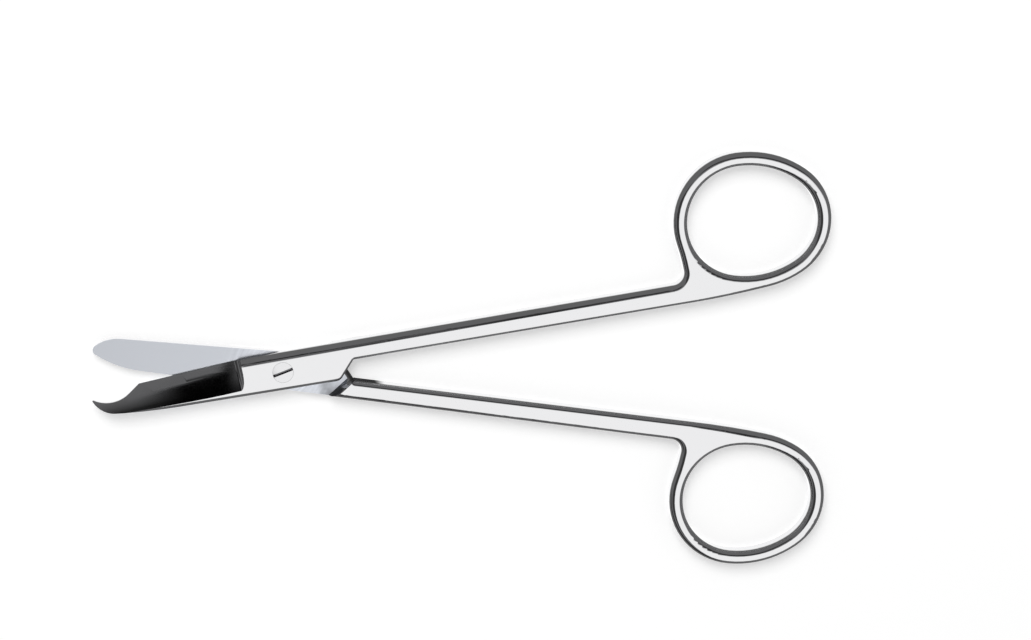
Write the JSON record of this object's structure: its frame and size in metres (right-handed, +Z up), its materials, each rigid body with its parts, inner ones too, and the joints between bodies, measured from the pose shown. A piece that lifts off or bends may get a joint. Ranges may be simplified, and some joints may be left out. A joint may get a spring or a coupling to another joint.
{
  "type": "suture scissors",
  "caption": "Slender scissors for taking out stitches: hooked blade against a plain round-nosed blade, lap joint on a slotted screw, oval finger rings.",
  "frame": {"origin": "on the pivot axis, at the level of the surface that the scissors lie on", "axes": "+X towards the finger rings, between the shanks; +Y towards the ring of the hooked half; +Z up along the screw, towards its head"},
  "size_m": [0.1398, 0.0812, 0.0037],
  "materials": {
    "polished_steel": "polished",
    "screw_steel": "polished"
  },
  "bodies": {
    "plain": {"plain_half": "polished_steel", "pivot_screw": "screw_steel"},
    "hooked": {"hooked_half": "polished_steel"}
  },
  "joints": [
    {"name": "pivot", "type": "hinge", "parent": "plain", "child": "hooked", "pos_m": [0, 0, 0], "axis": [0, 0, 1], "range_deg": [-16.4, 73.6]}
  ]
}
